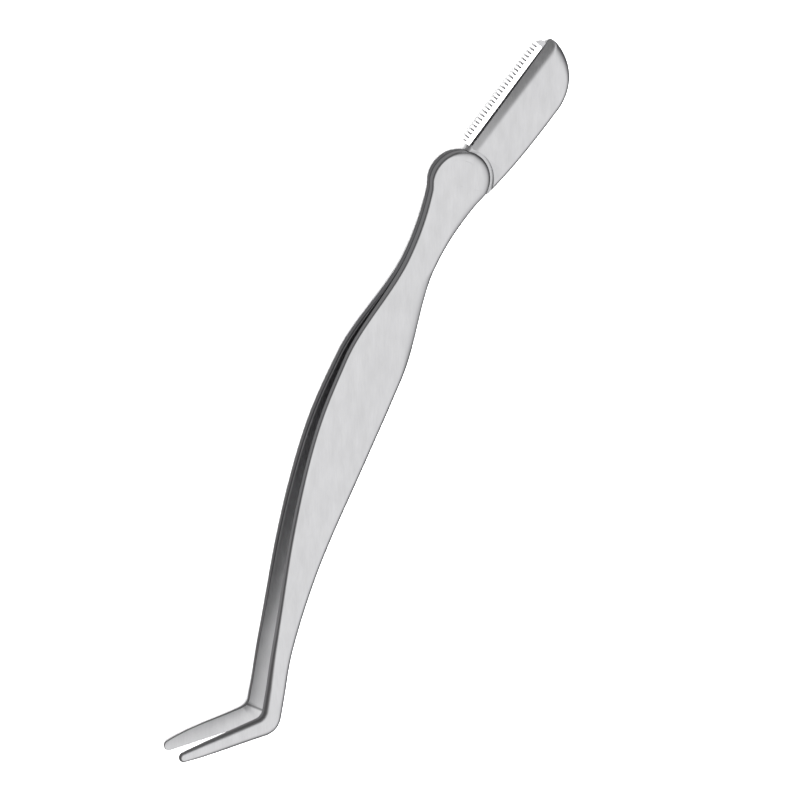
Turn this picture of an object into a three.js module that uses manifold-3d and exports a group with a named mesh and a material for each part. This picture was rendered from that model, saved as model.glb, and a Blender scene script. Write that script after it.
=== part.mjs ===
// Curved tweezers with a brow razor. Two sprung steel arms are joined at a round lobe and end in
// bent jaws. Beyond the lobe, two cheeks hold a thin blade, and a folded, notched guard covers the
// blade's edge. Millimetres: X runs from the jaws to the razor, Y to the side that the jaws and the
// blade face, and Z is up. The tool lies on its rear arm, with the origin under its middle.
import * as THREE from 'three';
import { mergeVertices } from 'three/addons/utils/BufferGeometryUtils.js';
import Module from 'manifold-3d';

const wasm = await Module();
wasm.setup();

// Steel strip of the arms
const ARM_THICKNESS = 1.3;
const TIP_THICKNESS = 0.8;

// Rounding of an arm's outer rim: at the lobe, at the lobe's right, on the grip's left, at the bend, at
// the tip and all along the right, and of its inner rim, at the grip and elsewhere
const LOBE_RIM_RADIUS = 0.25;
const LOBE_RIGHT_RIM_RADIUS = 1;
const GRIP_RIM_RADIUS = 0.14;
const BEND_RIM_RADIUS = 0.5;
const TIP_RIM_RADIUS = 0.35;
const BACK_RIM_RADIUS = 0.4;
const INNER_RIM_RADIUS = 0.1;
const GRIP_INNER_RIM_RADIUS = 0.35;

// Where those radii change, from X to X along the arm, and from Y to Y across the lobe and along the jaw
const LOBE_RIM_X = [-30, -4];
const LOBE_RIGHT_X = [-12, -4];
const LOBE_RIGHT_Y = [0.5, 4];
const BEND_RIM_X = [-90, -72];
const JAW_RIM_X = [-92, -88];
const TIP_RIM_Y = [1, 14];
const GRIP_INNER_START_X = [-27, -18];
const GRIP_INNER_END_X = [-78, -64];

// Outline of an arm, seen from the front, with the lobe's centre at X = Y = 0
const LOBE_RADIUS = 4.95;
const NECK_START_X = -2.75;
const NECK_X = -14;
const NECK_WIDTH = 5.15;
const FLEX_X = -16.5;
const GRIP_START_X = -32.5;
const GRIP_END_X = -37;
const GRIP_WIDTH = 10.55;
const SHANK_START_X = -83.5;
const SHANK_WIDTH = 3.15;
const SHANK_END_X = -85.3;

// Sideways sweep of an arm's middle line
const NECK_Y = 1.03;
const GRIP_X = -35.9;
const GRIP_Y = 2.45;
const GRIP_LOW_X = -48;
const GRIP_LOW_Y = 2.61;
const TAPER_X = -63;
const TAPER_Y = 1.75;
const SHANK_X = -78;
const SHANK_Y = -0.43;
const SHANK_END_Y = -2.08;

// Bent jaw
const BEND_RUN = 5.4;
const BEND_ANGLE = THREE.MathUtils.degToRad(65);
const BEND_INNER_RADIUS = 1.7;
const BEND_OUTER_RADIUS = 4.6;
const JAW_LENGTH = 15.85;
const JAW_WIDTH = 3.35;
const TIP_WIDTH = 1.7;

// Grinding of the jaw's inner face: its depth, and the share of a station's length that its step takes
const JAW_GRIND = 0.08;
const GRIND_STEP_SHARE = 0.2;

// Spread of each arm from the joint plane: its slope where it leaves the weld, its rise at the bend
const SPREAD_SLOPE = 0.052;
const BEND_RISE = 2.78;
const JAW_SLOPE = 0.005;

// Clearances
const JOINT_GAP = 0.06;
const FIT = 0.06;
const LOBE_CLEARANCE = 0.1;

// Razor cheeks, in the razor's own frame: x along the blade, y towards its edge
const RAZOR_ANGLE = THREE.MathUtils.degToRad(-16.5);
const CHEEK_THICKNESS = 1.12;
const CHEEK_RIM_RADIUS = 0.35;
const LIP_Y = 2.06;
const CHEEK_START_X = 1;
const BACK_START_Y = -5.2;
const BACK_BULGE_X = 7;
const END_RADIUS = 8.35;
const END_BACK_ANGLE = THREE.MathUtils.degToRad(-92);
const END_MARGIN = 1.05;
const CORNER_SETBACK = 0.45;
const CORNER_FLAT = 0.3;
const CHEEK_INNER_RIM_RADIUS = 0.1;
const SHOULDER_GAP = 0.55;

// Bevel along the cheek's lip, ground in two planes; the steeper one dies out towards the lobe
const BEVEL_START_WIDTH = 1.5;
const BEVEL_END_WIDTH = 1.9;
const BEVEL_SLOPE = Math.tan(THREE.MathUtils.degToRad(19));
const LIP_SLOPE = Math.tan(THREE.MathUtils.degToRad(27));
const LIP_SHARE = 0.65;

// Tangs of the cheeks, seated in pockets of the two lobes
const TANG_THICKNESS = 0.57;
const TANG_WIDTH = 4;
const TANG_Y = -1.2;
const TANG_REACH = 2.2;

// Blade and its folded guard
const BLADE_THICKNESS = 0.2;
const BLADE_LOBE_GAP = 0.65;
const BLADE_LENGTH = 19.8;
const BLADE_BACK_Y = -0.7;
const BLADE_REACH = 1.6;
const BLADE_GRIND = 0.6;
const BLADE_CORNER = 1.2;
const GUARD_SHEET = 0.15;
const GUARD_REACH = 1.95;
const GUARD_LIP_GAP = 0.3;
const GUARD_OVERHANG = 0.25;
const GUARD_SETBACK = 0.9;
const GUARD_CORNER = 0.25;
const NOTCH_COUNT = 28;
const NOTCH_PITCH = 0.68;
const NOTCH_WIDTH = 0.3;
const NOTCH_DEPTH = 0.85;

// Pins, all blind, so that none of them shows on the brushed faces
const BLADE_PIN_RADIUS = 0.6;
const BLADE_PIN_REACH = 0.75;
const BLADE_PIN_Y = 0.55;
const BLADE_PIN_INSET = 3.2;
const RIVET_RADIUS = 0.8;
const RIVET_REACH = 0.95;

// Facets
const ROUND_STEPS = 48;
const RIM_STEPS = 3;
const INNER_RIM_STEPS = 2;
const MERGE_DISTANCE = 1e-5;

// Longer than any piece that is cut
const FAR = 60;

// Solids for cutting and joining

function solid(geometry) {
  const bare = new THREE.BufferGeometry();
  bare.setAttribute('position', geometry.getAttribute('position'));
  bare.setIndex(geometry.getIndex());
  const merged = mergeVertices(bare, MERGE_DISTANCE);
  return new wasm.Manifold(new wasm.Mesh({
    numProp: 3,
    vertProperties: Float32Array.from(merged.getAttribute('position').array),
    triVerts: Uint32Array.from(merged.getIndex().array),
  }));
}

function geometryOf(manifold) {
  const { vertProperties, triVerts } = manifold.getMesh();
  const geometry = new THREE.BufferGeometry();
  geometry.setAttribute('position', new THREE.BufferAttribute(vertProperties, 3));
  geometry.setIndex(new THREE.BufferAttribute(triVerts, 1));
  geometry.computeVertexNormals();
  return geometry;
}

// A flat shape between two heights
function slab(shape, low, high) {
  const geometry = new THREE.ExtrudeGeometry(shape, {
    depth: high - low,
    bevelEnabled: false,
    curveSegments: ROUND_STEPS / 4,
  });
  return geometry.translate(0, 0, low);
}

// A disc or pin about the Z axis through (x, y)
function disc(radius, x, y, low, high) {
  const geometry = new THREE.CylinderGeometry(radius, radius, high - low, ROUND_STEPS);
  return geometry.rotateX(Math.PI / 2).translate(x, y, (low + high) / 2);
}

function polygon(points) {
  return new THREE.Shape(points.map(([x, y]) => new THREE.Vector2(x, y)));
}

// Outward miters of an edge that runs from the lobe's end; side is 1 on the left and -1 on the right
function outward(points, side) {
  const edges = points.slice(1).map((point, i) => point.clone().sub(points[i]).normalize());
  return points.map((_, i) => {
    const before = edges[Math.max(i - 1, 0)];
    const after = edges[Math.min(i, edges.length - 1)];
    const miter = before.clone().add(after).divideScalar(1 + before.dot(after));
    return new THREE.Vector2(miter.y, -miter.x).multiplyScalar(side);
  });
}

// A closed plate through matched stations, each with its left and right outline points, the height
// of its inner face and its thickness. Both rims are rounded, by radii that can change along them.
function plate(stations, outerRim, innerRim) {
  const lefts = stations.map((station) => station.left);
  const rights = stations.map((station) => station.right);
  const leftOut = outward(lefts, 1);
  const rightOut = outward(rights, -1);
  const edge = (points, outs, isRight) => stations.map((station, i) => ({
    ...station,
    point: points[i],
    out: outs[i],
    outerRadius: outerRim(points[i], isRight),
    innerRadius: innerRim(points[i]),
  }));
  const ring = [...edge(lefts, leftOut, false), ...edge(rights, rightOut, true).reverse()];
  const rim = [];
  for (let step = 0; step <= INNER_RIM_STEPS; step++) {
    const turn = (step / INNER_RIM_STEPS) * (Math.PI / 2);
    rim.push({ outer: 0, inset: 1 - Math.sin(turn), rise: 1 - Math.cos(turn) });
  }
  for (let step = 0; step <= RIM_STEPS; step++) {
    const turn = (step / RIM_STEPS) * (Math.PI / 2);
    rim.push({ outer: 1, inset: 1 - Math.cos(turn), rise: Math.sin(turn) - 1 });
  }
  const positions = rim.flatMap((row) => ring.flatMap((place) => {
    const radius = row.outer ? place.outerRadius : place.innerRadius;
    return [
      place.point.x - place.out.x * row.inset * radius,
      place.point.y - place.out.y * row.inset * radius,
      place.lift + row.outer * place.thick + row.rise * radius,
    ];
  }));
  const around = ring.length;
  const top = (rim.length - 1) * around;
  const index = [];
  for (let row = 0; row < top; row += around) {
    for (let i = 0; i < around; i++) {
      const a = row + i;
      const b = row + ((i + 1) % around);
      index.push(a, b, b + around, a, b + around, a + around);
    }
  }
  for (let i = 0; i < stations.length - 1; i++) {
    const [left, nextLeft, nextRight, right] = [i, i + 1, around - 2 - i, around - 1 - i];
    index.push(top + left, top + nextLeft, top + nextRight, top + left, top + nextRight, top + right);
    index.push(left, nextRight, nextLeft, left, right, nextRight);
  }
  const geometry = new THREE.BufferGeometry();
  geometry.setAttribute('position', new THREE.Float32BufferAttribute(positions, 3));
  geometry.setIndex(index);
  geometry.computeVertexNormals();
  return geometry;
}

// Middle line and width of an arm

const spine = new THREE.SplineCurve([
  new THREE.Vector2(0, 0),
  new THREE.Vector2(NECK_X, NECK_Y),
  new THREE.Vector2(GRIP_X, GRIP_Y),
  new THREE.Vector2(GRIP_LOW_X, GRIP_LOW_Y),
  new THREE.Vector2(TAPER_X, TAPER_Y),
  new THREE.Vector2(SHANK_X, SHANK_Y),
  new THREE.Vector2(SHANK_END_X, SHANK_END_Y),
]);

// The spine falls steadily in X, so halving finds the place on it at a given X
function spinePlace(x) {
  const halvings = 40;
  let [low, high] = [0, 1];
  for (let step = 0; step < halvings; step++) {
    const middle = (low + high) / 2;
    if (spine.getPoint(middle).x > x) low = middle;
    else high = middle;
  }
  return { centre: spine.getPoint(low), along: spine.getTangent(low) };
}

function armWidth(x) {
  const { lerp, smoothstep } = THREE.MathUtils;
  if (x > NECK_X) return NECK_WIDTH + (2 * LOBE_RADIUS - NECK_WIDTH) * (1 - x / NECK_X) ** 2;
  if (x > GRIP_START_X) return lerp(GRIP_WIDTH, NECK_WIDTH, smoothstep(x, GRIP_START_X, NECK_X));
  return lerp(SHANK_WIDTH, GRIP_WIDTH, smoothstep(x, SHANK_START_X, GRIP_END_X));
}

function leftOf(along) {
  return new THREE.Vector2(along.y, -along.x);
}

function across(centre, along, width) {
  const reach = leftOf(along).multiplyScalar(width / 2);
  return { left: centre.clone().add(reach), right: centre.clone().sub(reach) };
}

function stationsBetween(fromX, toX, steps) {
  return Array.from({ length: steps + 1 }, (_, i) => {
    const x = THREE.MathUtils.lerp(fromX, toX, i / steps);
    const { centre, along } = spinePlace(x);
    return across(centre, along, armWidth(x));
  });
}

// Radii of an arm's rims at a point of its outline
function armRim(point, isRight) {
  const { lerp, smoothstep } = THREE.MathUtils;
  const lobe = (LOBE_RIM_RADIUS - GRIP_RIM_RADIUS) * smoothstep(point.x, ...LOBE_RIM_X);
  const onJaw = 1 - smoothstep(point.x, ...JAW_RIM_X);
  const bendRadius = lerp(BEND_RIM_RADIUS, TIP_RIM_RADIUS, onJaw * smoothstep(point.y, ...TIP_RIM_Y));
  const bend = (bendRadius - GRIP_RIM_RADIUS) * (1 - smoothstep(point.x, ...BEND_RIM_X));
  const back = isRight ? BACK_RIM_RADIUS * (1 - onJaw) : 0;
  const lobeRight = smoothstep(point.x, ...LOBE_RIGHT_X) * (1 - smoothstep(point.y, ...LOBE_RIGHT_Y));
  return lerp(Math.max(GRIP_RIM_RADIUS + lobe + bend, back), LOBE_RIGHT_RIM_RADIUS, lobeRight);
}

function armInnerRim(point) {
  const { lerp, smoothstep } = THREE.MathUtils;
  const started = 1 - smoothstep(point.x, ...GRIP_INNER_START_X);
  const kept = smoothstep(point.x, ...GRIP_INNER_END_X);
  return lerp(INNER_RIM_RADIUS, GRIP_INNER_RIM_RADIUS, started * kept);
}

// Joined end of an arm: the lobe and the neck as far as the line where the arm leaves the weld

function anchorStations() {
  const lobeSteps = 18;
  const firstDegrees = 2;
  const leftDegrees = 103;
  const rightDegrees = 98;
  const lobe = Array.from({ length: lobeSteps + 1 }, (_, i) => {
    const onRim = (lastDegrees, side) => {
      const degrees = THREE.MathUtils.lerp(firstDegrees, lastDegrees, i / lobeSteps);
      const angle = THREE.MathUtils.degToRad(side * degrees);
      return new THREE.Vector2(Math.cos(angle), Math.sin(angle)).multiplyScalar(LOBE_RADIUS);
    };
    return { left: onRim(leftDegrees, 1), right: onRim(rightDegrees, -1) };
  });
  const neckSteps = 12;
  const neck = stationsBetween(NECK_START_X, FLEX_X + JOINT_GAP / 2, neckSteps);
  return [...lobe, ...neck].map((station) => ({
    ...station,
    lift: JOINT_GAP / 2,
    thick: ARM_THICKNESS,
  }));
}

// Tongue of a cheek's tang, with a rounded end under the lobe's middle
function tangShape(clearance) {
  const half = TANG_WIDTH / 2 + clearance;
  const shape = new THREE.Shape();
  shape.moveTo(LOBE_RADIUS + SHOULDER_GAP + CHEEK_START_X, TANG_Y + half);
  shape.lineTo(TANG_WIDTH / 2 - TANG_REACH, TANG_Y + half);
  shape.absarc(TANG_WIDTH / 2 - TANG_REACH, TANG_Y, half, Math.PI / 2, -Math.PI / 2, false);
  shape.lineTo(LOBE_RADIUS + SHOULDER_GAP + CHEEK_START_X, TANG_Y - half);
  shape.closePath();
  return shape;
}

const tangTop = JOINT_GAP / 2 + TANG_THICKNESS;
const rivetX = TANG_WIDTH / 2 - TANG_REACH;

function anchor() {
  const pocket = slab(tangShape(FIT), -JOINT_GAP, tangTop + FIT).rotateZ(RAZOR_ANGLE);
  const rivetHole = disc(RIVET_RADIUS + FIT, rivetX, TANG_Y, -JOINT_GAP, RIVET_REACH + FIT);
  return geometryOf(solid(plate(anchorStations(), armRim, armInnerRim))
    .subtract(solid(pocket))
    .subtract(solid(rivetHole.rotateZ(RAZOR_ANGLE))));
}

// Sprung length of an arm: grip, shank and bent jaw

// Corner where two edge lines meet
function meet(point, along, otherPoint, otherAlong) {
  const offset = otherPoint.clone().sub(point);
  const share = offset.cross(otherAlong) / along.cross(otherAlong);
  return point.clone().addScaledVector(along, share);
}

// A rounded corner between an edge that arrives and one that leaves towards a far point
function roundedCorner(corner, arriving, farPoint, radius, steps) {
  const setback = radius * Math.tan(BEND_ANGLE / 2);
  const leaving = farPoint.clone().sub(corner).normalize();
  const curve = new THREE.QuadraticBezierCurve(
    corner.clone().addScaledVector(arriving, -setback),
    corner,
    corner.clone().addScaledVector(leaving, setback),
  );
  return curve.getPoints(steps);
}

function armStations() {
  const shankSteps = 40;
  const bendSteps = 8;
  const jawSteps = 5;
  const tipSteps = 5;
  const tipLastTurn = THREE.MathUtils.degToRad(80);
  const tipRadius = TIP_WIDTH / 2;

  const strip = stationsBetween(FLEX_X - JOINT_GAP / 2, SHANK_END_X, shankSteps);
  const { centre, along } = spinePlace(SHANK_END_X);
  const bend = centre.clone().addScaledVector(along, BEND_RUN);
  const jawAlong = along.clone().rotateAround(new THREE.Vector2(), -BEND_ANGLE);
  const tipCentre = bend.clone().addScaledVector(jawAlong, JAW_LENGTH - tipRadius);
  const tipSides = across(tipCentre, jawAlong, TIP_WIDTH);
  const shankEdges = across(bend, along, SHANK_WIDTH);
  const jawEdges = across(bend, jawAlong, JAW_WIDTH);
  const inner = meet(shankEdges.left, along, jawEdges.left, jawAlong);
  const outer = meet(shankEdges.right, along, jawEdges.right, jawAlong);
  const innerCurve = roundedCorner(inner, along, tipSides.left, BEND_INNER_RADIUS, bendSteps);
  const outerCurve = roundedCorner(outer, along, tipSides.right, BEND_OUTER_RADIUS, bendSteps);
  const corner = innerCurve.map((left, i) => ({ left, right: outerCurve[i] }));
  const middle = bendSteps / 2;
  corner.splice(middle + 1, 0, {
    left: innerCurve[middle].clone().lerp(innerCurve[middle + 1], GRIND_STEP_SHARE),
    right: outerCurve[middle].clone().lerp(outerCurve[middle + 1], GRIND_STEP_SHARE),
  });
  const jaw = Array.from({ length: jawSteps }, (_, i) => ({
    left: innerCurve[bendSteps].clone().lerp(tipSides.left, (i + 1) / jawSteps),
    right: outerCurve[bendSteps].clone().lerp(tipSides.right, (i + 1) / jawSteps),
  }));
  const tip = Array.from({ length: tipSteps }, (_, i) => {
    const turn = (tipLastTurn * (i + 1)) / tipSteps;
    const ahead = tipCentre.clone().addScaledVector(jawAlong, tipRadius * Math.sin(turn));
    return across(ahead, jawAlong, TIP_WIDTH * Math.cos(turn));
  });
  return spread([...strip, ...corner, ...jaw, ...tip], strip.length + middle);
}

// Heights along the arm, by the distance run from the weld; the ground jaw starts after bendIndex
function spread(stations, bendIndex) {
  const middles = stations.map(({ left, right }) => left.clone().add(right).divideScalar(2));
  const runs = [0];
  for (let i = 1; i < middles.length; i++) {
    runs.push(runs[i - 1] + middles[i].distanceTo(middles[i - 1]));
  }
  const bendRun = runs[bendIndex];
  const lastRun = runs[runs.length - 1];
  const bow = (SPREAD_SLOPE * bendRun - BEND_RISE) / bendRun ** 2;
  return stations.map((station, i) => {
    const armRun = Math.min(runs[i], bendRun);
    const jawRun = runs[i] - armRun;
    const rise = JOINT_GAP / 2 + SPREAD_SLOPE * armRun - bow * armRun ** 2 + JAW_SLOPE * jawRun;
    const sheet = THREE.MathUtils.lerp(ARM_THICKNESS, TIP_THICKNESS, jawRun / (lastRun - bendRun));
    const ground = i > bendIndex ? JAW_GRIND : 0;
    return { ...station, lift: rise + ground, thick: sheet - ground };
  });
}

function arm() {
  return plate(armStations(), armRim, armInnerRim);
}

// Razor cheek: a plate with a quarter-round end and a ground bevel, stepped round the lobe

const cheekFace = JOINT_GAP / 2 + CHEEK_THICKNESS;
const bladeStartX = LOBE_RADIUS + BLADE_LOBE_GAP;
const bladeEndX = bladeStartX + BLADE_LENGTH;
const bladeEdgeY = LIP_Y + BLADE_REACH;
const bladePinXs = [bladeStartX + BLADE_PIN_INSET, bladeEndX - BLADE_PIN_INSET];
const tipX = bladeEndX + END_MARGIN;
const endCentreX = tipX - END_RADIUS;

function cheekStations() {
  const steps = 28;
  const tip = new THREE.Vector2(tipX, LIP_Y);
  const lipEnd = new THREE.Vector2(tipX - CORNER_SETBACK, LIP_Y);
  const endStart = -CORNER_SETBACK / END_RADIUS;
  const onEnd = (angle) => new THREE.Vector2(Math.cos(angle), Math.sin(angle))
    .multiplyScalar(END_RADIUS)
    .add(new THREE.Vector2(endCentreX, LIP_Y));
  const lip = new THREE.LineCurve(new THREE.Vector2(CHEEK_START_X, LIP_Y), lipEnd);
  const back = new THREE.CurvePath();
  const backEnd = onEnd(END_BACK_ANGLE);
  const backStart = new THREE.Vector2(CHEEK_START_X, BACK_START_Y);
  const bulge = new THREE.Vector2(BACK_BULGE_X, backEnd.y);
  back.add(new THREE.QuadraticBezierCurve(backStart, bulge, backEnd));
  back.add(new THREE.EllipseCurve(
    endCentreX, LIP_Y, END_RADIUS, END_RADIUS, END_BACK_ANGLE, endStart, false));
  back.add(new THREE.QuadraticBezierCurve(onEnd(endStart), tip, lipEnd.clone().lerp(tip, CORNER_FLAT)));
  return Array.from({ length: steps + 1 }, (_, i) => ({
    left: back.getPointAt(i / steps),
    right: lip.getPointAt(i / steps),
    lift: JOINT_GAP / 2,
    thick: CHEEK_THICKNESS,
  }));
}

// Outline of the blade, grown by a clearance, up to a given Y
function bladeShape(clearance, topY) {
  return polygon([
    [bladeStartX - clearance, BLADE_BACK_Y - clearance],
    [bladeEndX + clearance, BLADE_BACK_Y - clearance],
    [bladeEndX + clearance, topY],
    [bladeStartX - clearance, topY],
  ]);
}

// Everything above a plane through a point of the lip's bevel and along two directions in the plane
function above(point, along, down) {
  const normal = along.clone().cross(down).normalize();
  const side = normal.clone().cross(along).normalize();
  const turn = new THREE.Matrix4().makeBasis(along.clone().normalize(), side, normal);
  const box = new THREE.BoxGeometry(FAR, FAR, FAR).translate(0, 0, FAR / 2);
  return box.applyMatrix4(turn).translate(point.x, point.y, point.z);
}

// The two grinds of the bevel, which widens from the lobe to the tip
function bevelCutters() {
  const startX = LOBE_RADIUS + SHOULDER_GAP;
  const faceStart = new THREE.Vector3(startX, LIP_Y - BEVEL_START_WIDTH, cheekFace);
  const faceEnd = new THREE.Vector3(tipX, LIP_Y - BEVEL_END_WIDTH, cheekFace);
  const lipStart = new THREE.Vector3(startX, LIP_Y, cheekFace - BEVEL_SLOPE * BEVEL_START_WIDTH);
  const steepWidth = LIP_SHARE * BEVEL_END_WIDTH;
  const steepTop = cheekFace - BEVEL_SLOPE * (BEVEL_END_WIDTH - steepWidth);
  const steepEnd = new THREE.Vector3(tipX, LIP_Y - steepWidth, steepTop);
  const lipEnd = new THREE.Vector3(tipX, LIP_Y, steepTop - LIP_SLOPE * steepWidth);
  return [
    above(faceStart, faceEnd.sub(faceStart), lipStart.clone().sub(faceStart)),
    above(lipStart, lipEnd.clone().sub(lipStart), lipEnd.clone().sub(steepEnd)),
  ];
}

function cheek() {
  const shoulder = disc(LOBE_RADIUS + SHOULDER_GAP, 0, 0, tangTop, FAR);
  const lobeRoom = disc(LOBE_RADIUS + LOBE_CLEARANCE, 0, 0, -FAR, FAR);
  const tang = slab(tangShape(0), JOINT_GAP / 2, tangTop);
  const bladeSeat = slab(bladeShape(FIT, FAR), -FAR, BLADE_THICKNESS / 2 + FIT);
  const rivetHole = disc(RIVET_RADIUS + FIT, rivetX, TANG_Y, -FAR, FAR);
  const [shallowGrind, steepGrind] = bevelCutters();
  let body = solid(plate(cheekStations(), () => CHEEK_RIM_RADIUS, () => CHEEK_INNER_RIM_RADIUS))
    .subtract(solid(shallowGrind))
    .subtract(solid(steepGrind))
    .subtract(solid(shoulder))
    .subtract(solid(lobeRoom))
    .add(solid(tang))
    .subtract(solid(bladeSeat))
    .subtract(solid(rivetHole));
  for (const x of bladePinXs) {
    const hole = disc(BLADE_PIN_RADIUS + FIT, x, BLADE_PIN_Y, -FAR, BLADE_PIN_REACH + FIT);
    body = body.subtract(solid(hole));
  }
  return geometryOf(body);
}

// Outline of a strip along the blade, with its far outer corner rounded
function stripShape(startX, endX, lowY, topY, corner) {
  const shape = new THREE.Shape();
  shape.moveTo(startX, lowY);
  shape.lineTo(endX, lowY);
  shape.lineTo(endX, topY - corner);
  shape.absarc(endX - corner, topY - corner, corner, 0, Math.PI / 2, false);
  shape.lineTo(startX, topY);
  shape.closePath();
  return shape;
}

// Blade: a thin strip ground to an edge from both sides
function blade() {
  const half = BLADE_THICKNESS / 2;
  const outline = stripShape(bladeStartX, bladeEndX, BLADE_BACK_Y, bladeEdgeY, BLADE_CORNER);
  const ground = polygon([
    [BLADE_BACK_Y - FIT, -half],
    [bladeEdgeY - BLADE_GRIND, -half],
    [bladeEdgeY, 0],
    [bladeEdgeY - BLADE_GRIND, half],
    [BLADE_BACK_Y - FIT, half],
  ]);
  const section = new THREE.ExtrudeGeometry(ground, { depth: FAR, bevelEnabled: false });
  // The section's own x and y become the blade's y and z
  section.applyMatrix4(new THREE.Matrix4().set(0, 0, 1, 0, 1, 0, 0, 0, 0, 1, 0, 0, 0, 0, 0, 1));
  let body = solid(section).intersect(solid(slab(outline, -FAR, FAR)));
  for (const x of bladePinXs) {
    body = body.subtract(solid(disc(BLADE_PIN_RADIUS + FIT, x, BLADE_PIN_Y, -FAR, FAR)));
  }
  return geometryOf(body);
}

// Guard: a strip folded over the edge, with a row of open notches; the blade's far end is left bare
function guard() {
  const inner = BLADE_THICKNESS / 2 + FIT;
  const outer = inner + GUARD_SHEET;
  const [lowY, topY] = [LIP_Y + GUARD_LIP_GAP, LIP_Y + GUARD_REACH];
  const [startX, endX] = [bladeStartX - GUARD_OVERHANG, bladeEndX - GUARD_SETBACK];
  const outline = stripShape(startX, endX, lowY, topY, GUARD_CORNER);
  const room = polygon([
    [startX - FIT, lowY - FIT],
    [endX + FIT, lowY - FIT],
    [endX + FIT, topY - GUARD_SHEET],
    [startX - FIT, topY - GUARD_SHEET],
  ]);
  let body = solid(slab(outline, -outer, outer)).subtract(solid(slab(room, -inner, inner)));
  const firstX = (startX + endX - GUARD_CORNER - (NOTCH_COUNT - 1) * NOTCH_PITCH) / 2;
  for (let i = 0; i < NOTCH_COUNT; i++) {
    const notch = new THREE.BoxGeometry(NOTCH_WIDTH, 2 * NOTCH_DEPTH, FAR);
    body = body.subtract(solid(notch.translate(firstX + i * NOTCH_PITCH, topY, 0)));
  }
  return geometryOf(body);
}

// Assembly

function steel(color, roughness) {
  return new THREE.MeshStandardMaterial({ color, roughness, metalness: 1 });
}

function place(group, name, geometry, material) {
  const mesh = new THREE.Mesh(geometry, material);
  mesh.name = name;
  group.add(mesh);
}

// One side of the tool, in front of the joint plane or, mirrored, behind it
function half(side) {
  const group = new THREE.Group();
  const razor = new THREE.Group();
  razor.rotation.z = RAZOR_ANGLE;
  place(group, `${side}_arm`, arm(), steel(0xcfd0d2, 0.38));
  place(group, `${side}_arm_anchor`, anchor(), steel(0xcfd0d2, 0.38));
  place(razor, `razor_${side}_cheek`, cheek(), steel(0xc9cacc, 0.36));
  group.add(razor);
  return group;
}

const front = half('front');
const rear = half('rear');
rear.scale.z = -1;

const core = new THREE.Group();
core.rotation.z = RAZOR_ANGLE;
place(core, 'razor_blade', blade(), steel(0xe4e6e9, 0.2));
place(core, 'blade_guard', guard(), steel(0xf0f1f2, 0.3));
const pinSteel = () => steel(0xb9bbbe, 0.4);
const bladePin = (x) => disc(BLADE_PIN_RADIUS, x, BLADE_PIN_Y, -BLADE_PIN_REACH, BLADE_PIN_REACH);
place(core, 'blade_pin_near_lobe', bladePin(bladePinXs[0]), pinSteel());
place(core, 'blade_pin_near_tip', bladePin(bladePinXs[1]), pinSteel());
const rivet = disc(RIVET_RADIUS, rivetX, TANG_Y, -RIVET_REACH, RIVET_REACH);
place(core, 'tang_rivet', rivet, pinSteel());

const tool = new THREE.Group();
tool.add(front, rear, core);

// Lowest point of the tool on one side of the lobe, as it is turned now
function lowest(sign) {
  const point = new THREE.Vector3();
  let found = new THREE.Vector3(0, 0, FAR);
  tool.updateWorldMatrix(true, true);
  tool.traverse((object) => {
    if (!object.isMesh) return;
    const positions = object.geometry.getAttribute('position');
    for (let i = 0; i < positions.count; i++) {
      point.fromBufferAttribute(positions, i).applyMatrix4(object.matrixWorld);
      if (point.x * sign > 0 && point.z < found.z) found = point.clone();
    }
  });
  return found;
}

// The tool lies on its rear jaw and on the razor's rear cheek, so it is turned until both are level
const levelRounds = 4;
for (let round = 0; round < levelRounds; round++) {
  const [razorPoint, jawPoint] = [lowest(1), lowest(-1)];
  tool.rotation.y += Math.atan2(razorPoint.z - jawPoint.z, razorPoint.x - jawPoint.x);
}
tool.updateWorldMatrix(true, true);
const box = new THREE.Box3().setFromObject(tool, true);
const middle = box.getCenter(new THREE.Vector3());
tool.position.set(-middle.x, -middle.y, -box.min.z);

const part = new THREE.Group();
part.add(tool);

export default part;
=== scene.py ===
import math

import bmesh
import bpy
from mathutils import Matrix, Vector
from mathutils.geometry import interpolate_bezier


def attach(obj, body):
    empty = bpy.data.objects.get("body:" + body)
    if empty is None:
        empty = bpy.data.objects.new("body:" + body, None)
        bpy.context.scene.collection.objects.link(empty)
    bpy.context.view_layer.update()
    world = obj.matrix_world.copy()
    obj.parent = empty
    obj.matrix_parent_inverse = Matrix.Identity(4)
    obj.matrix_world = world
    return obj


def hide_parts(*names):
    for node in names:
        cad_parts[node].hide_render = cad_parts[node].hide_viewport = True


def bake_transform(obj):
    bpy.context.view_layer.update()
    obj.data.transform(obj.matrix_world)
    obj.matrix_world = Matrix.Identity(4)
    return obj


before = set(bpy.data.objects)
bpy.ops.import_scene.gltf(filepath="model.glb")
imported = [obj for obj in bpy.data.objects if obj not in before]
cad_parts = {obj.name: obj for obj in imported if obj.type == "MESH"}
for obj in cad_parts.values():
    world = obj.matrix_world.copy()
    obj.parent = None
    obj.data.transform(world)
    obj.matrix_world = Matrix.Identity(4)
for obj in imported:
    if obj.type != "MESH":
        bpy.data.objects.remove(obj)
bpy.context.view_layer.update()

# Front and rear arms. Each is one strip of spring steel, stamped with a round lobe, a neck, a wide grip and
# a slender shank, then bowed outwards and bent into a tapered jaw. Brushed on their faces and darker on their
# walls, partly for duller cut steel and partly as painted shade, with more painted shade on the back edges
# and on the rear arm and a painted sheen at the jaws' tips, they mirror each other but for the swell of the
# jaws, and are welded at the lobe and neck.
MM = 0.001
LYING_TILT = math.radians(1.4790620)
LYING_PLACE = Vector((37.499343, 1.038606, 1.791167))
lying = Matrix.Scale(MM, 4) @ Matrix.Translation(LYING_PLACE) @ Matrix.Rotation(LYING_TILT, 4, "Y")

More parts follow.
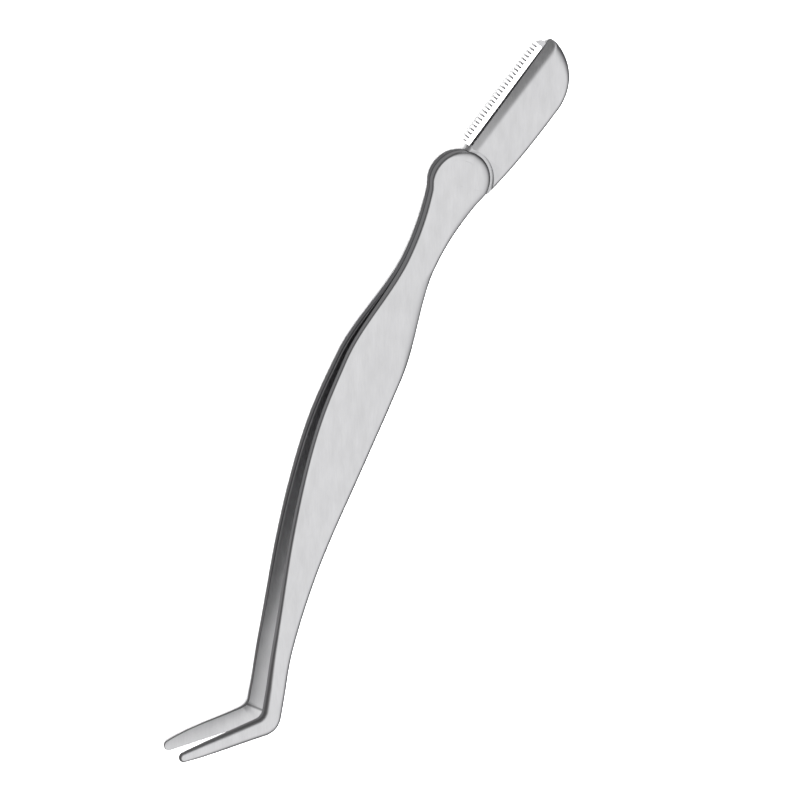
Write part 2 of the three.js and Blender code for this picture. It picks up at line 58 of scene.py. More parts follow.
STRIP = 1.3
LOBE_RIM = 0.3
GRIP_RIM = 0.2
SHANK_RIM = 0.38
BEND_RIM = 0.8
TIP_RIM = 0.35
LOBE_BACK_RIM = (1.5, 0.55)
BACK_RIM = (0.9, 0.75)
GRIP_BACK_RIM = (2.2, 0.6)
STRIP_BREAK = 0.1
GRIP_BREAK = 0.35
LOBE_RIM_RUN = (-30, -4)
SHANK_RIM_RUN = (-45, -62)
BEND_RIM_RUN = (-74, -90)
JAW_RUN = (-88, -92)
TIP_RIM_RISE = (1, 14)
TIP_SHEEN_RISE = (0, 8)
LOBE_BACK_RUN = (-12, -4)
LOBE_BACK_RISE = (4, 0.5)
GRIP_BACK_START = (-14, -18)
GRIP_BACK_END = (-34, -23)
GRIP_BREAK_START = (-18, -27)
GRIP_BREAK_END = (-78, -64)
TIP_STRIP = 0.8
WELD_GAP = 0.06
LOBE_RADIUS = 4.95
LOBE_START = 2
LOBE_LEFT_END = 103
LOBE_RIGHT_END = 98
NECK_START_X = -2.75
NECK_X = -14.0
NECK_WIDTH = 5.15
WELD_END_X = -16.5
WELD_END_RUN = 3.0
GRIP_START_X = -32.5
GRIP_END_X = -37.0
GRIP_WIDTH = 10.55
GRIP_X = -35.9
SHANK_START_X = -83.5
SHANK_WIDTH = 3.15
SHANK_END_X = -85.3
BEND_RUN = 5.4
BEND_ANGLE = math.radians(65)
BEND_INNER_RADIUS = 1.7
BEND_OUTER_RADIUS = 3.9
FRONT_JAW_SWELL = (0.05, 0.16)
REAR_JAW_SWELL = (0.28, 0.0)
SWELL_PEAK = 6.75
JAW_LENGTH = 15.85
JAW_WIDTH = 3.35
TIP_WIDTH = 1.7
TIP_TURN = math.radians(82)
SPREAD_SLOPE = 0.052
BEND_RISE = 2.78
JAW_SLOPE = 0.005
JAW_GRIND = 0.08
GRIND_RUN = 1.2

SPINE_STEPS = 80
spine_knots = [Vector(p) for p in (
    (0, 0), (NECK_X, 1.03), (GRIP_X, 2.45), (-48, 2.61), (-63, 1.75), (-78, -0.43), (SHANK_END_X, -2.08),
)]
spine = []
last_knot = len(spine_knots) - 1
for i in range(last_knot):
    before, start, end, after = (spine_knots[min(max(k, 0), last_knot)] for k in range(i - 1, i + 3))
    leaving, arriving = start + (end - before) / 6, end - (after - start) / 6
    spine += interpolate_bezier(start, leaving, arriving, end, SPINE_STEPS)[:-1]
spine.append(spine_knots[-1])


def blend_between(low, high, x):
    t = min(max((x - low) / (high - low), 0), 1)
    return t * t * (3 - 2 * t)


def strip_width(x):
    if x > NECK_X:
        return NECK_WIDTH + (2 * LOBE_RADIUS - NECK_WIDTH) * (1 - x / NECK_X) ** 2
    if x > GRIP_START_X:
        return GRIP_WIDTH + (NECK_WIDTH - GRIP_WIDTH) * blend_between(GRIP_START_X, NECK_X, x)
    return SHANK_WIDTH + (GRIP_WIDTH - SHANK_WIDTH) * blend_between(SHANK_START_X, GRIP_END_X, x)


def across(centre, along, width):
    left = Vector((along.y, -along.x)) * (width / 2)
    return centre + left, centre - left


def on_spine(x):
    k = next((i for i in range(1, len(spine) - 1) if spine[i].x < x), len(spine) - 1)
    a, b = spine[k - 1], spine[k]
    share = (x - a.x) / (b.x - a.x)
    before = (b - spine[max(k - 2, 0)]).normalized()
    after = (spine[min(k + 1, len(spine) - 1)] - a).normalized()
    return a.lerp(b, share), before.lerp(after, share).normalized()


def on_circle(centre, radius, degrees):
    return centre + radius * Vector((math.cos(math.radians(degrees)), math.sin(math.radians(degrees))))


def crossing(point, along, other, other_along):
    share = (other - point).cross(other_along) / along.cross(other_along)
    return point + along * share


def rounded(corner, arriving, far_point, radius, steps):
    setback = radius * math.tan(BEND_ANGLE / 2)
    start = corner - arriving * setback
    end = corner + (far_point - corner).normalized() * setback
    return interpolate_bezier(start, start.lerp(corner, 2 / 3), end.lerp(corner, 2 / 3), end, steps)


def strip_stations(swell):
    """Matched left and right edge points from the lobe to the jaw's tip, and the index of the bend."""
    lobe_steps, body_steps, bend_steps, jaw_steps, tip_steps = 36, 130, 20, 24, 12
    middle = Vector((0, 0))
    stations = []
    for i in range(lobe_steps + 1):
        share = i / lobe_steps
        stations.append((on_circle(middle, LOBE_RADIUS, LOBE_START + (LOBE_LEFT_END - LOBE_START) * share),
                         on_circle(middle, LOBE_RADIUS, -LOBE_START - (LOBE_RIGHT_END - LOBE_START) * share)))
    for i in range(body_steps + 1):
        x = NECK_START_X + (SHANK_END_X - NECK_START_X) * i / body_steps
        centre, along = on_spine(x)
        stations.append(across(centre, along, strip_width(x)))
    centre, along = on_spine(SHANK_END_X)
    bend = centre + along * BEND_RUN
    jaw_along = Matrix.Rotation(-BEND_ANGLE, 2) @ along
    tip_centre = bend + jaw_along * (JAW_LENGTH - TIP_WIDTH / 2)
    tip_left, tip_right = across(tip_centre, jaw_along, TIP_WIDTH)
    shank_left, shank_right = across(bend, along, SHANK_WIDTH)
    jaw_left, jaw_right = across(bend, jaw_along, JAW_WIDTH)
    inner_corner = crossing(shank_left, along, jaw_left, jaw_along)
    outer_corner = crossing(shank_right, along, jaw_right, jaw_along)
    inner = rounded(inner_corner, along, tip_left, BEND_INNER_RADIUS, bend_steps + 1)
    outer = rounded(outer_corner, along, tip_right, BEND_OUTER_RADIUS, bend_steps + 1)
    bend_index = len(stations) + bend_steps // 2
    stations += list(zip(inner, outer))
    for i in range(1, jaw_steps + 1):
        share = i / jaw_steps
        left, right = across(middle, jaw_along, 2 * SWELL_PEAK * share ** 2 * (1 - share))
        stations.append((inner[-1].lerp(tip_left, share) + left * swell[0],
                         outer[-1].lerp(tip_right, share) + right * swell[1]))
    for i in range(1, tip_steps + 1):
        turn = TIP_TURN * i / tip_steps
        ahead = tip_centre + jaw_along * (TIP_WIDTH / 2 * math.sin(turn))
        stations.append(across(ahead, jaw_along, TIP_WIDTH * math.cos(turn)))
    return stations, bend_index


def strip_heights(stations, bend_index):
    """Inner height and thickness at each station: flat at the weld, bowed to the bend, ground on the jaw."""
    middles = [(left + right) / 2 for left, right in stations]
    runs = [0.0]
    for a, b in zip(middles, middles[1:]):
        runs.append(runs[-1] + (b - a).length)
    weld = next(runs[i] for i in range(len(middles)) if middles[i].x < WELD_END_X)
    bend_run = runs[bend_index] - weld
    bow = (SPREAD_SLOPE * bend_run - BEND_RISE) / bend_run ** 2
    heights = []
    for run in runs:
        past = run - weld
        sprung = min((past + math.hypot(past, WELD_END_RUN)) / 2, bend_run)
        jaw = max(past - bend_run, 0.0)
        grind = JAW_GRIND * blend_between(0, GRIND_RUN, jaw)
        thick = STRIP + (TIP_STRIP - STRIP) * jaw / (runs[-1] - weld - bend_run)
        lift = WELD_GAP / 2 + SPREAD_SLOPE * sprung - bow * sprung ** 2 + JAW_SLOPE * jaw
        heights.append((lift + grind, thick - grind))
    return heights


def outer_rim(point, right):
    """Width and height of the outer rim's rounding: even on the left edges, wide and low on the right."""
    lobe = (LOBE_RIM - GRIP_RIM) * blend_between(*LOBE_RIM_RUN, point.x)
    shank = (SHANK_RIM - GRIP_RIM) * blend_between(*SHANK_RIM_RUN, point.x)
    bend = (BEND_RIM - SHANK_RIM) * blend_between(*BEND_RIM_RUN, point.x)
    tip = blend_between(*TIP_RIM_RISE, point.y) * blend_between(*JAW_RUN, point.x)
    even = GRIP_RIM + lobe + shank + bend
    grip_back = blend_between(*GRIP_BACK_START, point.x) * blend_between(*GRIP_BACK_END, point.x)
    rim = Vector(BACK_RIM).lerp(Vector(GRIP_BACK_RIM), grip_back) if right else Vector((even, even))
    rim = rim.lerp(Vector((TIP_RIM, TIP_RIM)), tip)
    lobe_back = blend_between(*LOBE_BACK_RUN, point.x) * blend_between(*LOBE_BACK_RISE, point.y)
    return rim.lerp(Vector(LOBE_BACK_RIM), lobe_back)


def inner_rim(point):
    """Width and height of the inner rim's rounding, which is fuller along the grip."""
    grip = blend_between(*GRIP_BREAK_START, point.x) * blend_between(*GRIP_BREAK_END, point.x)
    return [STRIP_BREAK + (GRIP_BREAK - STRIP_BREAK) * grip] * 2


def round_rim(bm, faces, width, height, steps):
    """Rolls the border of a group of faces inwards and outwards along a quarter ellipse."""
    turns = [math.pi / 2 * i / steps for i in range(steps + 1)]
    for low, high in zip(turns, turns[1:]):
        bmesh.ops.inset_region(
            bm, faces=faces, use_boundary=True, use_even_offset=True,
            thickness=width * (math.cos(low) - math.cos(high)),
            depth=height * (math.sin(high) - math.sin(low)),
        )


ROLL = 0.1
OUTER_RIM_STEPS = 8
INNER_RIM_STEPS = 4


def draw_out(vertex, edge, level, side, width, height):
    """Moves a point of a rim that was rolled at the small size to its place on a rim of full size."""
    sunk = (vertex.co.z - level - side * ROLL) * height / ROLL
    vertex.co = (*edge.lerp(vertex.co.xy, width / ROLL), level + sunk)


def strip_bmesh(swell):
    stations, bend_index = strip_stations(swell)
    heights = strip_heights(stations, bend_index)
    bm = bmesh.new()
    bmesh.ops.create_grid(bm, x_segments=len(stations) - 1, y_segments=1, size=1)
    station = bm.verts.layers.int.new("station")
    for v in bm.verts:
        v[station] = round((v.co.x + 1) / 2 * (len(stations) - 1))
        point = stations[v[station]][0 if v.co.y > 0 else 1]
        v.co = (point.x, point.y, heights[v[station]][0])
    raised = bmesh.ops.extrude_face_region(bm, geom=bm.faces[:])["geom"]
    for v in raised:
        if isinstance(v, bmesh.types.BMVert):
            v.co.z = sum(heights[v[station]])
    bmesh.ops.recalc_face_normals(bm, faces=bm.faces[:])
    # both rims are rolled at a small size, then drawn out to the size they have at each station
    for side, steps in ((1, OUTER_RIM_STEPS), (-1, INNER_RIM_STEPS)):
        rolled = [f for f in bm.faces if f.normal.z * side > 0.5]
        border = {v for f in rolled for v in f.verts}
        others = set(bm.verts) - border
        round_rim(bm, rolled, ROLL, ROLL, steps)
        for v in set(bm.verts) - others:
            left, right = stations[v[station]]
            on_right = (v.co.xy - left).length > (v.co.xy - right).length
            edge = right if on_right else left
            level = heights[v[station]][0] + (heights[v[station]][1] if side > 0 else 0)
            rim = outer_rim(edge, on_right) if side > 0 else inner_rim(edge)
            draw_out(v, edge, level, side, *rim)
    mark_inside(bm)
    return bm


INSIDE_TURN = (0.3, 0.8)


def mark_inside(bm):
    """Stores on each point how far its surface faces the other arm."""
    bm.normal_update()
    inside = bm.verts.layers.float.new("inside")
    for v in bm.verts:
        v[inside] = blend_between(*INSIDE_TURN, -v.normal.z)


# The wall attribute blends in a darker wall colour: partly the duller cut steel of the walls, partly painted
# shade on edges facing the back, lessened by a painted sheen at the jaws' tips.
OUTER_WALL_TURN = (0.12, 0.75)
INNER_WALL_TURN = (0.01, 0.15)
BACK_SHADE_TILT = (0, 0.6)
BACK_SHADE_FACING = (0, -0.3)
LEAST_TILT = 0.001
TIP_SHEEN = 0.4


def mark_walls_and_shade(bm):
    """Stores how far each point turns from the face, sooner inside, with painted shade at the back and
    painted sheen at the tips.
    """
    bm.normal_update()
    wall_and_shade = bm.verts.layers.float.new("wall_and_shade")
    for v in bm.verts:
        turn = OUTER_WALL_TURN if v.normal.z > 0 else INNER_WALL_TURN
        turned = blend_between(*turn, 1 - abs(v.normal.z))
        tilt = v.normal.xy.length
        # edges facing the back are turned sooner, as painted shade
        if v.normal.z > 0 and tilt > LEAST_TILT:
            back = blend_between(*BACK_SHADE_FACING, v.normal.y / tilt)
            turned += (blend_between(*BACK_SHADE_TILT, tilt) - turned) * back
        # a painted sheen lightens the walls towards the jaws' tips
        sheen = TIP_SHEEN * blend_between(*TIP_SHEEN_RISE, v.co.y) * blend_between(*JAW_RUN, v.co.x)
        v[wall_and_shade] = turned * (1 - sheen)


SHARP_EDGE = math.radians(38)


def finish_piece(name, bm, place, mirrored, materials):
    """Turns a bmesh in tool millimetres into an object in the part's frame, smooth but for sharp edges."""
    if mirrored:
        bmesh.ops.scale(bm, vec=(1, 1, -1), verts=bm.verts[:])
        bmesh.ops.reverse_faces(bm, faces=bm.faces[:])
    bm.transform(place)
    bm.normal_update()
    for f in bm.faces:
        f.smooth = True
    for e in bm.edges:
        e.smooth = len(e.link_faces) == 2 and e.calc_face_angle(0) < SHARP_EDGE
    mesh = bpy.data.meshes.new(name)
    bm.to_mesh(mesh)
    bm.free()
    piece = bpy.data.objects.new(name, mesh)
    bpy.context.scene.collection.objects.link(piece)
    for material in materials:
        mesh.materials.append(material)
    normals = piece.modifiers.new("even_faces", "WEIGHTED_NORMAL")
    normals.keep_sharp = True
    return piece


def new_group(name, inputs, outputs):
    group = bpy.data.node_groups.new(name, "ShaderNodeTree")
    for socket, kind, value in inputs:
        made = group.interface.new_socket(socket, in_out="INPUT", socket_type=kind)
        made.default_value = value
    for socket, kind in outputs:
        group.interface.new_socket(socket, in_out="OUTPUT", socket_type=kind)
    return group, group.nodes.new("NodeGroupInput"), group.nodes.new("NodeGroupOutput")


def add(tree, kind, settings=None, **inputs):
    """Adds a node; an input is given by its name with underscores, or as i and its number."""
    node = tree.nodes.new(kind)
    for key, value in (settings or {}).items():
        setattr(node, key, value)
    for key, value in inputs.items():
        numbered = key[0] == "i" and key[1:].isdigit()
        socket = node.inputs[int(key[1:]) if numbered else key.replace("_", " ")]
        if isinstance(value, bpy.types.NodeSocket):
            tree.links.new(value, socket)
        else:
            socket.default_value = value
    return node


# Brushing: long fine scratches in one direction, left in the steel by a belt,
# with slow cloudy changes of sheen between them.
BRUSH_TURN = math.radians(23.6)
SCRATCH_SCALE = (1 / 500, 1 / 3200, 1 / 3200)
CLOUD_SCALE = (1 / 260, 1 / 700, 1 / 700)
brushing, given, shown = new_group(
    "brushing",
    [("Scratch Size", "NodeSocketFloat", 1.0)],
    [("Scratches", "NodeSocketFloat"), ("Clouds", "NodeSocketFloat")],
)
coords = add(brushing, "ShaderNodeTexCoord")
turned = add(brushing, "ShaderNodeMapping", {"vector_type": "TEXTURE"},
             Vector=coords.outputs["Object"], Rotation=(0, 0, BRUSH_TURN), Scale=SCRATCH_SCALE)
sized = add(brushing, "ShaderNodeVectorMath", {"operation": "SCALE"}, i0=turned.outputs[0],
            Scale=given.outputs["Scratch Size"])
scratches = add(brushing, "ShaderNodeTexNoise", {"noise_dimensions": "3D"}, Vector=sized.outputs[0],
                Scale=1.0, Detail=3.0, Roughness=0.6)
broad = add(brushing, "ShaderNodeMapping", {"vector_type": "TEXTURE"},
            Vector=coords.outputs["Object"], Rotation=(0, 0, BRUSH_TURN), Scale=CLOUD_SCALE)
clouds = add(brushing, "ShaderNodeTexNoise", {"noise_dimensions": "3D"}, Vector=broad.outputs[0],
             Scale=1.0, Detail=2.0, Roughness=0.5)
brushing.links.new(scratches.outputs[0], shown.inputs["Scratches"])
brushing.links.new(clouds.outputs[0], shown.inputs["Clouds"])


def ranged(tree, value, reach, tones):
    """Adds a node that maps one range of a value onto another."""
    return add(tree, "ShaderNodeMapRange", None, Value=value,
               From_Min=reach[0], From_Max=reach[1], To_Min=tones[0], To_Max=tones[1])


# Inner faces of the arms: painted shade from the narrow gap between them, none on the jaws, deepening up the
# shank from where the jaw's grinding starts and clearing again further up, with a fine painted shadow line
# there for the grinding's small step.
GRIND_LINE = (-89.64, 0.0712)
GAP_SHADE_RUN = 17 * MM
GAP_CLEAR_RUN = 42 * MM
GAP_SHADE_TONES = (0.82, 0.64)
GAP_CLEARED_TONE = 0.38
LINE_STEP = 0.1 * MM
LINE_REACH = (0.05 * MM, 0.3 * MM)
GRIND_SHADOW_TONE = 0.45
inner_face_shade, _, shown = new_group("inner_face_shade", [], [("Tone", "NodeSocketFloat")])
on_tool = add(inner_face_shade, "ShaderNodeMapping", {"vector_type": "TEXTURE"},
              Vector=add(inner_face_shade, "ShaderNodeTexCoord").outputs["Object"],
              Location=LYING_PLACE * MM, Rotation=(0, LYING_TILT, 0))
before_line = add(inner_face_shade, "ShaderNodeVectorMath", {"operation": "DOT_PRODUCT"},
                  i0=on_tool.outputs[0], i1=(1, -GRIND_LINE[1], 0))
before = add(inner_face_shade, "ShaderNodeMath", {"operation": "SUBTRACT"},
             i0=before_line.outputs["Value"], i1=GRIND_LINE[0] * MM)
# painted gap shade: darker past the grinding line, then clearing again up the shank
gap_shading = add(inner_face_shade, "ShaderNodeMapRange", None, Value=before.outputs[0],
             From_Min=0.0, From_Max=GAP_SHADE_RUN, To_Min=GAP_SHADE_TONES[0], To_Max=GAP_SHADE_TONES[1])
gap_clearing = add(inner_face_shade, "ShaderNodeMapRange", None, Value=before.outputs[0],
              From_Min=GAP_SHADE_RUN, From_Max=GAP_CLEAR_RUN, To_Min=0.0, To_Max=GAP_CLEARED_TONE)
rolled = add(inner_face_shade, "ShaderNodeMath", {"operation": "ADD"}, i0=gap_shading.outputs[0], i1=gap_clearing.outputs[0])
on_shank = add(inner_face_shade, "ShaderNodeMapRange", None, Value=before.outputs[0],
               From_Min=-LINE_STEP, From_Max=LINE_STEP, To_Min=0.0, To_Max=1.0)
gap_shade = add(inner_face_shade, "ShaderNodeMix", None, Factor=on_shank.outputs[0])
gap_shade.inputs[2].default_value = 1.0
inner_face_shade.links.new(rolled.outputs[0], gap_shade.inputs[3])
# painted shadow line along the grinding's step
apart = add(inner_face_shade, "ShaderNodeMath", {"operation": "ABSOLUTE"}, i0=before.outputs[0])
grind_shadow = add(inner_face_shade, "ShaderNodeMapRange", {"interpolation_type": "SMOOTHSTEP"}, Value=apart.outputs[0],
           From_Min=LINE_REACH[0], From_Max=LINE_REACH[1], To_Min=GRIND_SHADOW_TONE, To_Max=1.0)
grind_shadowed = add(inner_face_shade, "ShaderNodeMath", {"operation": "MULTIPLY"}, i0=gap_shade.outputs[0], i1=grind_shadow.outputs[0])
inside = add(inner_face_shade, "ShaderNodeAttribute", {"attribute_name": "inside"})
inner_tone = add(inner_face_shade, "ShaderNodeMix", None, Factor=inside.outputs["Fac"])
inner_tone.inputs[2].default_value = 1.0
inner_face_shade.links.new(grind_shadowed.outputs[0], inner_tone.inputs[3])
inner_face_shade.links.new(inner_tone.outputs[0], shown.inputs["Tone"])


ANISOTROPY = 0.35
CLOUD_RANGE = (0.3, 0.7)
CLOUD_TONES = (0.95, 1.03)
SCRATCH_RANGE = (0.25, 0.75)
SCRATCH_TONES = (0.95, 1.05)
FACE_ROUGHNESS = (0.31, 0.41)
SCRATCH_STRENGTH = 0.12
SCRATCH_DEPTH = 0.02 * MM


def brushed_steel(name, face_colour, wall_colour):
    """Steel with a brushed face and darker walls, told apart by the wall attribute: the walls partly duller
    steel, partly painted shade; the face takes the painted gap shade.
    """
    material = bpy.data.materials.new(name)
    material.use_nodes = True
    tree = material.node_tree
    shader = tree.nodes["Principled BSDF"]
    shader.inputs["Metallic"].default_value = 1.0
    shader.inputs["Anisotropic"].default_value = ANISOTROPY
    grain = add(tree, "ShaderNodeGroup", {"node_tree": brushing})
    wall_and_shade = add(tree, "ShaderNodeAttribute", {"attribute_name": "wall_and_shade"})
    light = ranged(tree, grain.outputs["Clouds"], CLOUD_RANGE, CLOUD_TONES)
    fine = ranged(tree, grain.outputs["Scratches"], SCRATCH_RANGE, SCRATCH_TONES)
    tone = add(tree, "ShaderNodeMath", {"operation": "MULTIPLY"}, i0=light.outputs[0], i1=fine.outputs[0])
    inner = add(tree, "ShaderNodeGroup", {"node_tree": inner_face_shade})
    shade = add(tree, "ShaderNodeMath", {"operation": "MULTIPLY"},
                i0=tone.outputs[0], i1=inner.outputs["Tone"])
    face = add(tree, "ShaderNodeVectorMath", {"operation": "SCALE"}, i0=face_colour, Scale=shade.outputs[0])
    colour = add(tree, "ShaderNodeMix", {"data_type": "RGBA"})
    tree.links.new(wall_and_shade.outputs["Fac"], colour.inputs["Factor"])
    tree.links.new(face.outputs[0], colour.inputs[6])
    colour.inputs[7].default_value = (*wall_colour, 1)
    tree.links.new(colour.outputs[2], shader.inputs["Base Color"])
    rough = ranged(tree, grain.outputs["Scratches"], SCRATCH_RANGE, FACE_ROUGHNESS)
    tree.links.new(rough.outputs[0], shader.inputs["Roughness"])
    bump = add(tree, "ShaderNodeBump", None, Height=grain.outputs["Scratches"],
               Strength=SCRATCH_STRENGTH, Distance=SCRATCH_DEPTH)
    tree.links.new(bump.outputs[0], shader.inputs["Normal"])
    return material


# Walls are darker than faces, partly for duller cut steel and partly as painted shade; the rear arm's walls
# are painted darker still, as shade on the lower arm.
ARM_FACE = (0.62, 0.62, 0.63)
FRONT_ARM_WALL = (0.34, 0.34, 0.35)
REAR_ARM_SHADED_WALL = (0.24, 0.24, 0.25)
front_steel = brushed_steel("front_arm_steel", ARM_FACE, FRONT_ARM_WALL)
rear_shaded_steel = brushed_steel("rear_arm_shaded_steel", ARM_FACE, REAR_ARM_SHADED_WALL)
for side, mirrored, steel, swell in (("front", False, front_steel, FRONT_JAW_SWELL),
                                     ("rear", True, rear_shaded_steel, REAR_JAW_SWELL)):
    strip = strip_bmesh(swell)
    mark_walls_and_shade(strip)
    arm = finish_piece(f"{side}_arm_strip", strip, lying, mirrored, [steel])
    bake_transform(arm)
    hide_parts(f"{side}_arm", f"{side}_arm_anchor")

# Razor cheeks. Two steel plates with a quarter-round end hold the blade between them. Each is stepped round
# the lobe, ground to a thin lip along the blade, and its tang is seated and riveted inside the lobes.
RAZOR_TURN = math.radians(-16.5)
CHEEK = 1.12
CHEEK_RIM = (0.85, 0.65)
END_RIM = (1.7, 0.95)
LIP_RIM = (0.05, 0.05)
SEAT_DEPTH = 0.33
LIP_Y = 2.06
SEAT_RADIUS = 4.99
SHOULDER_RADIUS = 5.5
BACK_START = Vector((1, -5.2))
BACK_INSIDE = Vector((0.6, -4.6))
BACK_BULGE_X = 7.0
END_RADIUS = 8.4
END_CENTRE = Vector((18.1, LIP_Y))
END_BACK_DEGREES = -92
CORNER_SETBACK = 0.95
BEVEL_START_WIDTH = 1.5
BEVEL_END_WIDTH = 1.9
BEVEL_START_SLOPE = math.radians(20.5)
BEVEL_END_SLOPE = math.radians(32)
BEVEL_CREASE = 0.45
BEVEL_LINES = (0, 0.1, 0.2, 0.3, 0.45, 0.7)
BEVEL_PARTS = 10
END_RIM_START = (-60, -20)
END_RIM_STOP = (-3, -15)
BACK_STEPS = 48
END_STEPS = 44
CORNER_STEPS = 6
CUT_SIDES = 192
CUT_BOTTOM = -1
CUT_TOP = 3
NEARNESS = 0.001
SCORE_NEARNESS = 1e-5
# The cheeks' walls are darker, partly for duller cut steel and partly as painted shade, most on edges facing
# the back.
CHEEK_FACE = (0.61, 0.61, 0.62)
CHEEK_WALL = (0.36, 0.36, 0.37)
razor = lying @ Matrix.Rotation(RAZOR_TURN, 4, "Z")


def curve_through(start, control, end, steps):
    return interpolate_bezier(start, start.lerp(control, 2 / 3), end.lerp(control, 2 / 3), end, steps)


def cheek_outline():
    """Edge points from inside the lobe along the back, round the end and the corner, and along the lip."""
    tip = END_CENTRE + Vector((END_RADIUS, 0))
    corner_degrees = -math.degrees(CORNER_SETBACK / END_RADIUS)
    back_end = on_circle(END_CENTRE, END_RADIUS, END_BACK_DEGREES)
    back = curve_through(BACK_START, Vector((BACK_BULGE_X, back_end.y)), back_end, BACK_STEPS)
    end_turn = corner_degrees - END_BACK_DEGREES
    end = [on_circle(END_CENTRE, END_RADIUS, END_BACK_DEGREES + end_turn * i / END_STEPS)
           for i in range(1, END_STEPS)]
    corner = curve_through(on_circle(END_CENTRE, END_RADIUS, corner_degrees), tip,
                           tip - Vector((CORNER_SETBACK, 0)), CORNER_STEPS)
    return [BACK_INSIDE] + back + end + corner + [Vector((BACK_INSIDE.x, LIP_Y))]


def cheek_rim(point):
    """Width and height of the rim's rounding, which widens round the end and leaves the lip sharp."""
    if point.y > LIP_Y - NEARNESS or point.x < BACK_START.x:
        return LIP_RIM
    out = point - END_CENTRE
    turned = math.degrees(math.atan2(out.y, out.x))
    end = blend_between(*END_RIM_START, turned) * blend_between(*END_RIM_STOP, turned) * (out.x > 0)
    return Vector(CHEEK_RIM).lerp(Vector(END_RIM), end)


def round_cut(bm, radius, low, high):
    """The solid that is left when a round bar is taken out of it at the lobe's place."""
    cutter = bmesh.new()
    bmesh.ops.create_cone(cutter, cap_ends=True, segments=CUT_SIDES,
                          radius1=radius, radius2=radius, depth=high - low)
    bmesh.ops.translate(cutter, vec=(0, 0, (low + high) / 2), verts=cutter.verts[:])
    solids = []
    for part in (bm, cutter):
        mesh = bpy.data.meshes.new("cutting")
        part.to_mesh(mesh)
        part.free()
        solids.append(bpy.data.objects.new("cutting", mesh))
        bpy.context.scene.collection.objects.link(solids[-1])
    cut = solids[0].modifiers.new("cut", "BOOLEAN")
    cut.operation = "DIFFERENCE"
    cut.solver = "MANIFOLD"
    cut.object = solids[1]
    left = bmesh.new()
    left.from_object(solids[0], bpy.context.evaluated_depsgraph_get())
    for solid in solids:
        bpy.data.meshes.remove(solid.data)
    return left


def bevel_at(x):
    """Width and slope of the ground bevel, which widens and steepens evenly from the lobe to the tip."""
    share = (x - SHOULDER_RADIUS) / (END_CENTRE.x + END_RADIUS - SHOULDER_RADIUS)
    width = BEVEL_START_WIDTH + (BEVEL_END_WIDTH - BEVEL_START_WIDTH) * share
    return width, BEVEL_START_SLOPE + (BEVEL_END_SLOPE - BEVEL_START_SLOPE) * share


def bevel_drop(x, y):
    """Depth of the bevel below the face: a soft crease, then a straight slope down to the lip."""
    width, slope = bevel_at(x)
    share = max((y - LIP_Y) / width + 1, 0)
    bent = share ** 2 / (2 * BEVEL_CREASE) if share < BEVEL_CREASE else share - BEVEL_CREASE / 2
    return width * math.tan(slope) * bent


def cheek_bmesh():
    low, face = WELD_GAP / 2, WELD_GAP / 2 + CHEEK
    outline = cheek_outline()
    bm = bmesh.new()
    place = bm.verts.layers.int.new("place")
    flat = [bm.verts.new((*p, low)) for p in outline]
    for i, v in enumerate(flat):
        v[place] = i
    bm.faces.new(flat)
    raised = bmesh.ops.extrude_face_region(bm, geom=bm.faces[:])["geom"]
    bmesh.ops.translate(bm, vec=(0, 0, CHEEK), verts=[v for v in raised if isinstance(v, bmesh.types.BMVert)])
    bmesh.ops.recalc_face_normals(bm, faces=bm.faces[:])
    round_rim(bm, [f for f in raised if isinstance(f, bmesh.types.BMFace)], ROLL, ROLL, OUTER_RIM_STEPS)
    for v in set(bm.verts) - set(flat):
        draw_out(v, outline[v[place]], face, 1, *cheek_rim(outline[v[place]]))
    # the ground bevel: the plate is scored along and across it, then lowered to the bevel's surface
    start_x, end_x = SHOULDER_RADIUS, END_CENTRE.x + END_RADIUS
    scores = [(Vector((start_x + (end_x - start_x) * i / BEVEL_PARTS, 0, 0)), Vector((1, 0, 0)))
              for i in range(BEVEL_PARTS)]
    for share in BEVEL_LINES:
        near, far = (Vector((x, LIP_Y - bevel_at(x)[0] * (1 - share), 0)) for x in (start_x, end_x))
        scores.append((near, (far - near).cross(Vector((0, 0, 1)))))
    for point, normal in scores:
        bmesh.ops.bisect_plane(bm, geom=bm.verts[:] + bm.edges[:] + bm.faces[:], dist=SCORE_NEARNESS,
                               plane_co=point, plane_no=normal)
    for v in bm.verts:
        v.co.z = min(v.co.z, face - bevel_drop(v.co.x, v.co.y))
    bm = round_cut(bm, SHOULDER_RADIUS, face - SEAT_DEPTH, CUT_TOP)
    return round_cut(bm, SEAT_RADIUS, CUT_BOTTOM, CUT_TOP)


cheek_steel = brushed_steel("cheek_steel", CHEEK_FACE, CHEEK_WALL)
for side, mirrored in (("front", False), ("rear", True)):
    plate = cheek_bmesh()
    mark_walls_and_shade(plate)
    cheek = finish_piece(f"{side}_cheek_plate", plate, razor, mirrored, [cheek_steel])
    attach(cheek, "head")
    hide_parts(f"razor_{side}_cheek")

# Blade guard. A thin bright sheet, slotted in a row and folded over the blade's edge, so that short straps
# lie across the edge and keep it off the skin. Its far corner is rounded and stops short of the blade's end.
SHEET = 0.15
FOLD_INSIDE = 0.16
GUARD_START_X = 5.35
GUARD_END_X = 24.5
GUARD_LOW_Y = LIP_Y + 0.3
GUARD_TOP_Y = LIP_Y + 1.95
GUARD_CORNER = 0.25
SLOT_COUNT = 28
SLOT_PITCH = 0.68
SLOT_WIDTH = 0.36
SLOT_DEPTH = 0.85
CORNER_TURNS = range(0, 91, 10)
FOLD_TURNS = range(0, 181, 18)
GUARD_BRIGHT = (0.86, 0.86, 0.87)
# Cut edges and slot walls are darker: partly duller cut steel, partly painted shade in the slots.
GUARD_CUT_SHADE = (0.55, 0.55, 0.56)
GUARD_ROUGHNESS = 0.45
GUARD_GRAIN = 1.5
GUARD_METALLIC = 0.3
GUARD_CUT_METALLIC = 0.5

